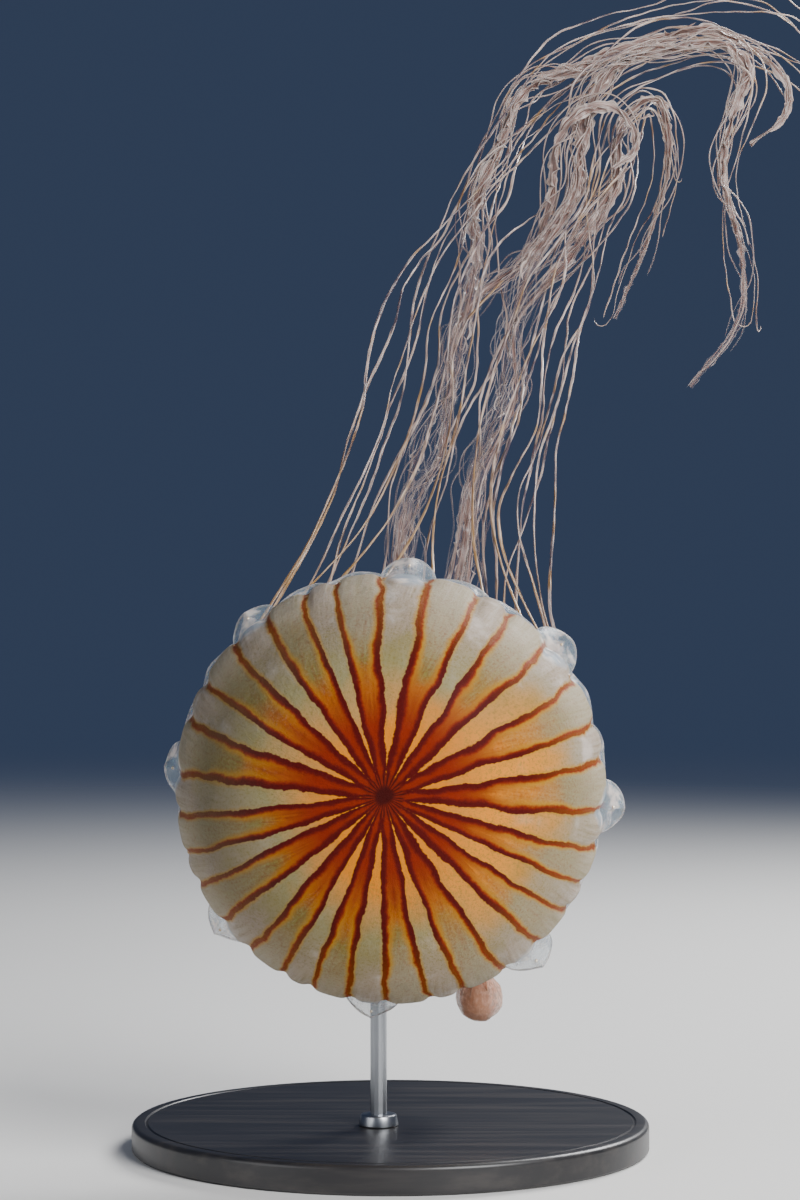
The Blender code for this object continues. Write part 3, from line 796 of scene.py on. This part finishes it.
def tentacle_shape(index, settings, draw):
    """A flattened, slowly twisting strand, with its root run into the margin and its tip closed."""
    rings = strand_rings(f"tentacle_{index + 1:02d}", 4)
    stations = np.array([ring.mean(axis=0) for ring in rings])
    radii = np.array([np.linalg.norm(ring - ring.mean(axis=0), axis=1).mean() for ring in rings])
    crown = np.array(bell_matrix().col[2][:3])
    outward = stations[0] - np.array(BELL_CENTRE)
    outward = unit(outward - outward.dot(crown) * crown)
    buried = stations[0] + TENTACLE_ROOT * crown + TENTACLE_OUTSET * outward
    stations = np.vstack([buried, stations])
    radii = np.concatenate([[1.3 * radii[0]], radii])
    if index % 3 == 0:
        stations = np.vstack([stations, hook_points(stations, settings.hook, draw)])
        radii = np.concatenate([radii, np.full(4, radii[-1])])
    path = smooth_path(stations, settings.step)
    along = lengths_along(path)
    radius = np.interp(along, lengths_along(stations), radii)
    grow = np.clip((along - 0.03) / 0.05, 0, 1) * np.clip(along / 0.3, 0.2, 1.7)
    for direction in frames_along(path, outward)[1:]:
        sway = waves(along, draw, (0.7, 0.034), (0.35, 0.013))
        path = path + settings.ripple * (grow * sway)[:, None] * direction
    _, side, other = frames_along(path, outward)
    radius = settings.slim * draw.uniform(0.75, 1.2) * radius
    radius = radius * (1 + waves(along, draw, (0.10, 0.019), (0.08, 0.008)))
    flat = np.clip(0.95 - along / 0.10, 0.6, 0.95)
    twist = along * draw.uniform(15, 40) * draw.choice((-1, 1))
    return tube_shape(path, radius, side, other, settings.sides, flat, twist)


def strand_finish(settings):
    """Wet, slightly clear strands with shaded and warm stretches."""
    pearl, mauve, tan = settings.pearl, settings.mauve, settings.tan
    made = Finish(
        "tentacle_skin", subsurface_weight=0.3, subsurface_radius=(1.0, 0.7, 0.5), subsurface_scale=0.002,
        coat_weight=0.5, coat_roughness=0.15, ior=1.36,
    )
    where = made.place()
    around, along = made.own_map()
    patches = made.noise(where, 42.0, 2.0)
    fine = made.noise(where, 520.0, 3.0, 0.6)
    fibres = made.noise(made.vector(5 * around, 45 * along), 1.0, 3.0, 0.6)
    tone = made.layers(
        made.mix((0.5 * patches + 0.5 * fibres).rise(0.42, 0.56), mauve, pearl),
        (made.noise(where, 60.0, 1.0).rise(0.55, 0.68) * 0.55, tan),
        (along.rise(0.38, 0.06) * 0.7, tan),
        # Painted highlight: near-white laid over the brighter fibres.
        ((fibres - 0.5).over(0) * 1.3, (0.92, 0.9, 0.88)),
    )
    alpha = 0.68 + 0.32 * fibres.rise(0.35, 0.6)
    bumps = made.relief(fibres + 0.3 * fine, 0.4, 0.0004)
    return made.show(base_color=tone, roughness=0.28 + 0.2 * patches, alpha=alpha, normal=bumps)


class JELLYFISH_OT_tentacles(bpy.types.Operator):
    """Adds the tentacles, each one unbroken from the margin to its tip"""

    bl_idname = "jellyfish.tentacles"
    bl_label = "Tentacles"

    def execute(self, context):
        settings = context.scene.jellyfish_tentacles
        draw = np.random.default_rng(5)
        shapes = [tentacle_shape(index, settings, draw) for index in range(TENTACLES)]
        made = add_piece("tentacle_skin", joined(shapes), [strand_finish(settings)])
        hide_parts(*(f"tentacle_{k + 1:02d}_{part}" for k in range(TENTACLES) for part in "ab"))
        return {"FINISHED"}


# Mouth stalk and arms -------------------------------------


class MouthSettings(bpy.types.PropertyGroup):
    step: length("Step", "Distance between points along an arm", 0.0008)
    sides: count("Sides", "Faces round a frill", 26, 8)
    slim: number("Slimness", "Share of the solid's width", 0.8)
    frill: length("Frill", "How far a frill's edge waves", 0.0028)
    ruffle: length("Ruffle", "Length of one wave of a frill", 0.0115)
    thickness: length("Thickness", "Thickness of a frill", 0.0007)
    threads: count("Threads", "Fine threads beside an arm", 10, 0)
    stray: length("Stray", "How far the threads run from the arm's middle", 0.0050)
    thread: length("Thread", "Radius of a thread", 0.00042)
    broad: length("Broad arm", "Half width beyond which the crossing ribbon widens faster", 0.0045)
    sagging: length("Sagging arm", "Greatest half width of the arm that sags", 0.0050)
    gather: length("Gathered fold", "Radius of the fold at the sagging arm's low point", 0.0100)
    gather_reach: length("Fold's reach", "Half the length of that fold", 0.0230)
    blush: colour("Blush", "Main colour", "AC958E")
    # Rose is painted shade: on the frills it stands for the shade in their folds; on the stalk it gives
    # random patches.
    rose: colour("Rose", "Folds of the frills", "6C4E46")
    milk: colour("Milk", "Edges of the frills", "E4D6CE")
    warm: colour("Warm", "Stretch nearest the mouth", "EAA47A")
    stalk: colour("Stalk", "Mouth stalk", "B9764A")


def arm_sections(index):
    """(path stations, half widths, sides) of a mouth arm, from the rings of its two CAD lengths.

    The first station lies inside the mouth stalk.
    """
    stations, widths, sides = [], [], []
    for ring in strand_rings(f"mouth_arm_{index + 1}", 6):
        offsets = ring - ring.mean(axis=0)
        far = offsets[np.argmax(np.linalg.norm(offsets, axis=1))]
        side = unit(far)
        if sides and side.dot(sides[-1]) < 0:
            side = -side
        stations.append(ring.mean(axis=0))
        widths.append(np.linalg.norm(far))
        sides.append(side)
    stations.insert(0, stations[0] + ARM_ROOT * unit(stations[0] - stations[1]))
    widths.insert(0, widths[0])
    sides.insert(0, sides[0])
    return np.array(stations), np.array(widths), np.array(sides)


def frill_shape(path, width, side, other, heading, settings, draw, share):
    """One ruffled ribbon along a path. Its waves grow towards both edges and lean over."""
    last = len(path) - 1
    along = lengths_along(path)
    turn = 2 * math.pi / settings.ruffle
    phases = draw.uniform(0, 2 * math.pi, 6)
    pace = along * turn + 1.6 * np.sin(along * turn / 3.3 + phases[0])
    reach = settings.frill * share * np.clip(along / 0.02, 0, 1) * width / width.max()

    def place(u, v):
        k = round(v * last)
        s = math.cos(2 * math.pi * u)
        edge = abs(s) ** 1.5
        phase = pace[k] + phases[1 if s > 0 else 2]
        small = math.sin(2.3 * pace[k] + phases[3 if s > 0 else 4]) * abs(s) ** 4
        slow = math.sin(0.37 * pace[k] + phases[5] + (2.0 if s > 0 else 0.0))
        lift = reach[k] * (edge * (0.7 * math.sin(phase) + 0.55 * slow) + 0.28 * small)
        lift += 0.5 * settings.thickness * math.sin(2 * math.pi * u)
        lean = 0.55 * reach[k] * edge * math.cos(phase)
        span = s * width[k] * (1 - 0.10 * edge * (1 + math.cos(2 * phase)))
        return Vector(path[k] + span * side[k] + lift * other[k] + lean * heading[k])

    return rolled_shape(settings.sides, last, place)


def thread_shape(path, side, other, settings, draw):
    """A fine thread that runs beside an arm and wanders in and out of its frill."""
    along = lengths_along(path)
    first, last = np.sort(draw.uniform(0, 1, 2)) * (0.12, 0.45) + (0.04, 0.55)
    kept = slice(int(first * len(path)), int(last * len(path)), 3)
    t = along[kept]
    turn = waves(t, draw, (1.6, 0.22), (0.5, 0.06)) + draw.uniform(0, 2 * math.pi)
    away = settings.stray * (1 + 0.4 * waves(t, draw, (1.0, 0.11), (0.6, 0.04)))
    aside = (away * np.cos(turn))[:, None] * side[kept] + (away * np.sin(turn))[:, None] * other[kept]
    thread = resampled(smooth_path((path[kept] + aside)[::4], THREAD_STEP), THREAD_STEP)
    radius = settings.thread * (1 + waves(lengths_along(thread), draw, (0.2, 0.015)))
    _, a, b = frames_along(thread, side[kept][0])
    still = np.zeros(len(thread))
    return tube_shape(thread, radius, a, b, 5, still + 0.8, still)


def gathered_shape(path, side, other, settings):
    """The rounded fold where an arm turns at its lowest point."""
    along = lengths_along(path)
    away = (along - along[np.argmin(path[:, 2])]) / settings.gather_reach
    kept = np.abs(away) < 0.998
    radius = settings.gather * (1 - away[kept] ** 2) ** 0.8
    still = np.zeros(len(radius))
    fold = tube_shape(path[kept], radius, side[kept], other[kept], 40, still + 1, still)
    fold.normal_update()
    for vertex in fold.verts:
        vertex.co += vertex.normal * 0.0005 * noise.noise(vertex.co * 260)
    return fold


def arm_shape(index, settings, draw):
    """Two ruffled ribbons that cross along the arm's middle, with fine threads beside them."""
    stations, widths, sides = arm_sections(index)
    path = smooth_path(stations, settings.step)
    along = lengths_along(path)
    at = lengths_along(stations)
    sagging = path[:, 2].min() < BELL_CENTRE.z - BELL_RADIUS
    width = np.interp(along, at, settings.slim * widths)
    if sagging:
        width = np.minimum(width, settings.sagging)
    heading = unit(np.gradient(path, axis=0))
    side = np.stack([np.interp(along, at, sides[:, k]) for k in range(3)], axis=1)
    side = unit(side - (side * heading).sum(axis=1)[:, None] * heading)
    other = np.cross(heading, side)
    main = frill_shape(path, width, side, other, heading, settings, draw, 1.0)
    depth = 0.6 * width + 1.2 * np.maximum(width - settings.broad, 0)
    cross = frill_shape(path, depth, other, side, heading, settings, draw, 0.6)
    threads = [thread_shape(path, side, other, settings, draw) for _ in range(settings.threads)]
    folds = [gathered_shape(path, side, other, settings)] if sagging else []
    return joined([main, cross, *folds, *threads])


def frill_finish(settings):
    """Fibrous ribbons, milky at their edges, that part into strands between the bell and the arch."""
    made = Finish(
        "mouth_frill", subsurface_weight=0.3, subsurface_radius=(1.0, 0.65, 0.5),
        subsurface_scale=0.002, coat_weight=0.4, coat_roughness=0.2, ior=1.36,
    )
    where = made.place()
    across, along = made.own_map()
    edge = abs((2 * math.pi * across + 0.5 * math.pi).sine())
    patches = made.noise(where, 55.0, 2.0)
    fine = made.noise(where, 650.0, 3.0, 0.6)
    fibres = made.noise(made.vector(30 * across, 28 * along), 1.0, 3.0, 0.6)
    height = made.split(where)[2]
    tone = made.layers(
        # Painted shade: rose between the fibres, blush on them.
        made.mix(fibres.rise(0.38, 0.60), settings.rose, settings.blush),
        (edge.rise(0.4, 1.0) * 0.6, settings.milk),
        # Painted highlight: milk over the brighter fibres; the milk at the edges above is the frills' own
        # colour.
        (fibres.rise(0.56, 0.70) * 0.7, settings.milk),
        (height.rise(0.24, 0.07) * 0.65, settings.warm),
    )
    bumps = made.relief(fibres + 0.4 * fine, 0.5, 0.0006)
    parted = made.noise(made.vector(14 * across, 7 * along), 1.0, 2.0).rise(0.62, 0.54)
    parted = parted * height.rise(0.16, 0.22) * height.rise(0.45, 0.35)
    alpha = 0.95 - 0.45 * edge.rise(0.35, 1.0) * fibres.rise(0.60, 0.40) - 0.1 * patches
    alpha = (alpha - 0.92 * parted).over(0.03)
    return made.show(base_color=tone, roughness=0.3 + 0.2 * fine, alpha=alpha, normal=bumps)


class JELLYFISH_OT_mouth_arms(bpy.types.Operator):
    """Adds the four ruffled mouth arms"""

    bl_idname = "jellyfish.mouth_arms"
    bl_label = "Mouth arms"

    def execute(self, context):
        settings = context.scene.jellyfish_mouth
        draw = np.random.default_rng(3)
        finish = frill_finish(settings)
        for index in range(MOUTH_ARMS):
            made = add_piece(f"mouth_arm_{index + 1}_frill", arm_shape(index, settings, draw), [finish])
            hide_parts(f"mouth_arm_{index + 1}_a", f"mouth_arm_{index + 1}_b")
        return {"FINISHED"}


def stalk_point(u, v):
    """A point of the lobed mouth stalk in the bell's frame, from inside the jelly to its open lips."""
    angle = 2 * math.pi * u
    lips = 0.9
    z = STALK_TOP + (STALK_END - STALK_TOP) * min(v / lips, 1.0)
    waist = STALK_RADIUS + STALK_SPREAD * (1 - smooth_step(0, 0.35, v))
    waist -= STALK_WAIST * math.sin(math.pi * v)
    lobe = 1 + (0.10 + 0.05 * v) * math.cos(MOUTH_ARMS * (angle - math.radians(45)))
    ripple = STALK_RIPPLE * math.sin(24 * angle + 6 * v) * smooth_step(0.1, 0.5, v)
    radius = waist * lobe + ripple
    if v > lips:
        fold = (v - lips) / (1 - lips)
        radius *= 1 - 0.85 * fold**1.4
        z += LIP_FOLD * fold
    return turned(radius, angle, z)


class JELLYFISH_OT_mouth_stalk(bpy.types.Operator):
    """Adds the four-lobed mouth stalk"""

    bl_idname = "jellyfish.mouth_stalk"
    bl_label = "Mouth stalk"

    def execute(self, context):
        settings = context.scene.jellyfish_mouth
        to_model = bell_matrix()
        shape = rolled_shape(128, 60, lambda u, v: to_model @ stalk_point(u, v))
        made = Finish(
            "stalk_skin", subsurface_weight=0.3, subsurface_radius=(1.0, 0.5, 0.3),
            subsurface_scale=0.004, coat_weight=0.6, coat_roughness=0.12, ior=1.38,
        )
        where = made.place()
        patches = made.noise(where, 90.0, 3.0)
        tone = made.mix(patches.rise(0.35, 0.65), settings.stalk, settings.rose)
        tone = made.mix(made.own_map()[1].rise(0.25, 0.0), tone, settings.blush)
        bumps = made.relief(made.noise(where, 700.0, 3.0), 0.5, 0.0006)
        made.show(base_color=tone, roughness=0.3 + 0.15 * patches, normal=bumps)
        piece = add_piece("mouth_stalk_skin", shape, [made.material])
        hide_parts("mouth_stalk")
        return {"FINISHED"}


# Stand ----------------------------------------------------


class StandSettings(bpy.types.PropertyGroup):
    edge: length("Edge", "Radius of the base plate's rounded edges", 0.0022)
    groove: length("Groove", "Depth of the line turned near the edge", 0.0006)
    inset: length("Groove inset", "How far that line lies in from the edge", 0.0070)
    foot: length("Foot", "Bevel of the base plate's lower edge", 0.0012)
    collar: length("Collar", "Radius of the collar at the rod's foot", 0.0085)
    collar_height: length("Collar height", "Height of that collar", 0.0050)
    steps: count("Steps round", "Faces round the base plate", 192, 48)
    lacquer: colour("Lacquer", "Base plate", "1B1A1C")
    grain: colour("Grain", "Lighter grain under the lacquer", "34302E")
    steel: colour("Steel", "Rod", "B9BCC0")


def plate_outline(reach, height, settings):
    """(radius, height) of the base plate's section, from the middle of its top to its underside."""
    edge, foot = settings.edge, settings.foot
    line, floor, side = reach - settings.inset, height - settings.groove, 0.5 * MM
    outline = [(0, height), (line, height), (line + side, floor), (line + 2 * side, floor)]
    outline.append((line + 3 * side, height))
    for k in range(7):
        turn = 0.5 * math.pi * k / 6
        outline.append((reach - edge * (1 - math.sin(turn)), height - edge * (1 - math.cos(turn))))
    return outline + [(reach, foot), (reach - foot, 0), (0, 0)]


def plate_shape(settings):
    """The oval base plate, turned round and then drawn out to its width and depth."""
    low, high = (Vector(corner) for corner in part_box("stand_base"))
    half = 0.5 * (high - low)
    shape = bmesh.new()
    corners = [shape.verts.new((r, 0, z)) for r, z in plate_outline(half.x, high.z, settings)]
    edges = [shape.edges.new(pair) for pair in zip(corners, corners[1:])]
    bmesh.ops.spin(
        shape, geom=corners + edges, axis=(0, 0, 1), cent=(0, 0, 0), steps=settings.steps,
        angle=2 * math.pi, use_merge=True
    )
    bmesh.ops.scale(shape, vec=(1, half.y / half.x, 1), verts=shape.verts)
    bmesh.ops.translate(shape, vec=0.5 * (low + high) * Vector((1, 1, 0)), verts=shape.verts)
    return closed(shape)


def rod_foot():
    """The middle of the rod's lower end."""
    points = [vertex.co for vertex in frame["nodes"]["stand_rod"].data.vertices]
    lowest = min(point.z for point in points)
    ring = [point for point in points if point.z < lowest + 0.5 * MM]
    return sum(ring, Vector()) / len(ring)


def collar_shape(foot, settings):
    """A small turned collar where the rod enters the plate."""
    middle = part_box("stand_base")[1][2] + 0.5 * settings.collar_height
    shape = bmesh.new()
    bmesh.ops.create_cone(
        shape, cap_ends=True, segments=64, radius1=settings.collar, radius2=settings.collar - MM,
        depth=settings.collar_height, matrix=Matrix.Translation((foot.x, foot.y, middle)),
    )
    rims = [edge for edge in shape.edges if abs(edge.verts[0].co.z - edge.verts[1].co.z) < WELD]
    bmesh.ops.bevel(
        shape, geom=rims, offset=0.8 * MM, segments=3, profile=0.5, affect="EDGES", material=-1
    )
    return shape


class JELLYFISH_OT_stand(bpy.types.Operator):
    """Adds the turned base plate and collar, and gives the rod its finish"""

    bl_idname = "jellyfish.stand"
    bl_label = "Display stand"

    def execute(self, context):
        settings = context.scene.jellyfish_stand
        plate = Finish("stand_lacquer", coat_weight=0.3, coat_roughness=0.25)
        where = plate.scaled(plate.place(), (9.0, 160.0, 160.0))
        grain = plate.noise(where, 1.0, 4.0, 0.6)
        tone = plate.mix(grain.rise(0.4, 0.75), settings.lacquer, settings.grain)
        plate.show(
            base_color=tone, roughness=0.34 + 0.18 * grain, normal=plate.relief(grain, 0.12, 0.0004)
        )
        rod = Finish("stand_steel", metallic=1.0)
        lines = rod.noise(rod.scaled(rod.place(), (900.0, 900.0, 25.0)), 1.0, 3.0)
        tone = rod.mix(lines, settings.steel, shade("8E9196"))
        rod.show(base_color=tone, roughness=0.22 + 0.2 * lines, normal=rod.relief(lines, 0.1, 0.0002))
        base = add_piece("stand_plate_turned", plate_shape(settings), [plate.material])
        base.data.set_sharp_from_angle(angle=math.radians(40))
        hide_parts("stand_base")
        collar = add_piece("rod_collar", collar_shape(rod_foot(), settings), [rod.material])
        collar.data.set_sharp_from_angle(angle=math.radians(40))
        for slot in frame["nodes"]["stand_rod"].material_slots:
            slot.material = rod.material
        return {"FINISHED"}


# Stage ----------------------------------------------------


class StageSettings(bpy.types.PropertyGroup):
    floor: colour("Floor", "Floor", "E9E8E5")
    backdrop: colour("Backdrop", "Colour behind the model", "3D4A64")
    floor_radius: length("Floor radius", "Radius of the floor", 3.6)
    camera_height: length("Camera height", "Height of the camera above the floor", 0.2333)
    camera_distance: length("Camera distance", "Distance from the bell's margin to the camera", 1.2)
    camera_side: length("Camera side", "How far the camera stands right of the middle", 0.004)
    focal: number("Focal length", "Focal length of the camera in millimetres", 87.6)
    glow: number("Backdrop strength", "Light of the backdrop", 0.75)


LIGHTS = (
    # name, place, size, watts
    ("key", (0.9, -1.2, 1.1), 1.0, 42),
    ("rim", (0.9, 1.0, 1.2), 0.8, 38),
    ("fill", (-1.3, -1.0, 0.6), 1.2, 8),
)


class JELLYFISH_OT_stage(bpy.types.Operator):
    """Adds the floor, the lights and the camera"""

    bl_idname = "jellyfish.stage"
    bl_label = "Stage"

    def execute(self, context):
        settings = context.scene.jellyfish_stage
        scene = context.scene
        shape = bmesh.new()
        bmesh.ops.create_circle(shape, cap_ends=True, segments=96, radius=settings.floor_radius)
        floor = add_piece("floor", shape, [])
        floor.parent = None
        finish = Finish("floor_paint", roughness=0.6)
        where = finish.place()
        x, y, _ = finish.split(where)
        far = ((x * x + y * y) ** 0.5).rise(settings.floor_radius, 0.3)
        tone = finish.mix(finish.noise(where, 60.0, 3.0) * 0.08, settings.floor, (0.7, 0.7, 0.7))
        finish.show(base_color=tone, alpha=far)
        floor.data.materials.append(finish.material)
        for name, place, size, power in LIGHTS:
            lamp = bpy.data.lights.new(name, "AREA")
            lamp.shape, lamp.size, lamp.energy = "DISK", size, power
            made = bpy.data.objects.new(name, lamp)
            made.location = place
            aim = BELL_CENTRE + Vector((0, 0, 0.1)) - made.location
            made.rotation_euler = aim.to_track_quat("-Z", "Y").to_euler()
            scene.collection.objects.link(made)
        world = bpy.data.worlds.new("studio")
        world.use_nodes = True
        back = world.node_tree.nodes["Background"]
        back.inputs["Color"].default_value = (*settings.backdrop, 1)
        back.inputs["Strength"].default_value = settings.glow
        scene.world = world
        view = bpy.data.cameras.new("camera")
        view.lens, view.sensor_width = settings.focal, 36
        camera = bpy.data.objects.new("camera", view)
        camera.location = (
            settings.camera_side, BELL_CENTRE.y - settings.camera_distance, settings.camera_height
        )
        camera.rotation_euler = (math.radians(90), 0, 0)
        scene.collection.objects.link(camera)
        scene.camera = camera
        return {"FINISHED"}


# Add-on ---------------------------------------------------


class JELLYFISH_PT_panel(bpy.types.Panel):
    """Lists the pieces of the jellyfish"""

    bl_idname = "JELLYFISH_PT_panel"
    bl_label = "Jellyfish"
    bl_space_type = "VIEW_3D"
    bl_region_type = "UI"
    bl_category = "Jellyfish"

    def draw(self, context):
        for operator in OPERATORS:
            self.layout.operator(operator.bl_idname)


SETTINGS = {
    "jellyfish_bell": BellSettings,
    "jellyfish_tentacles": TentacleSettings,
    "jellyfish_mouth": MouthSettings,
    "jellyfish_stand": StandSettings,
    "jellyfish_stage": StageSettings,
}
OPERATORS = (
    JELLYFISH_OT_stage,
    JELLYFISH_OT_bell,
    JELLYFISH_OT_sense_organs,
    JELLYFISH_OT_mouth_stalk,
    JELLYFISH_OT_mouth_arms,
    JELLYFISH_OT_tentacles,
    JELLYFISH_OT_stand,
)


def register():
    for made in (*SETTINGS.values(), *OPERATORS, JELLYFISH_PT_panel):
        bpy.utils.register_class(made)
    for name, made in SETTINGS.items():
        setattr(bpy.types.Scene, name, PointerProperty(type=made))


def unregister():
    for name in SETTINGS:
        delattr(bpy.types.Scene, name)
    for made in (JELLYFISH_PT_panel, *reversed(OPERATORS), *SETTINGS.values()):
        bpy.utils.unregister_class(made)


def main():
    register()
    for old in [o for o in bpy.data.objects if o.type in ("LIGHT", "CAMERA") or o.name == "Cube"]:
        bpy.data.objects.remove(old)
    for operator in OPERATORS:
        group, name = operator.bl_idname.split(".")
        getattr(getattr(bpy.ops, group), name)()
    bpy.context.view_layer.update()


if __name__ == "__main__":
    main()
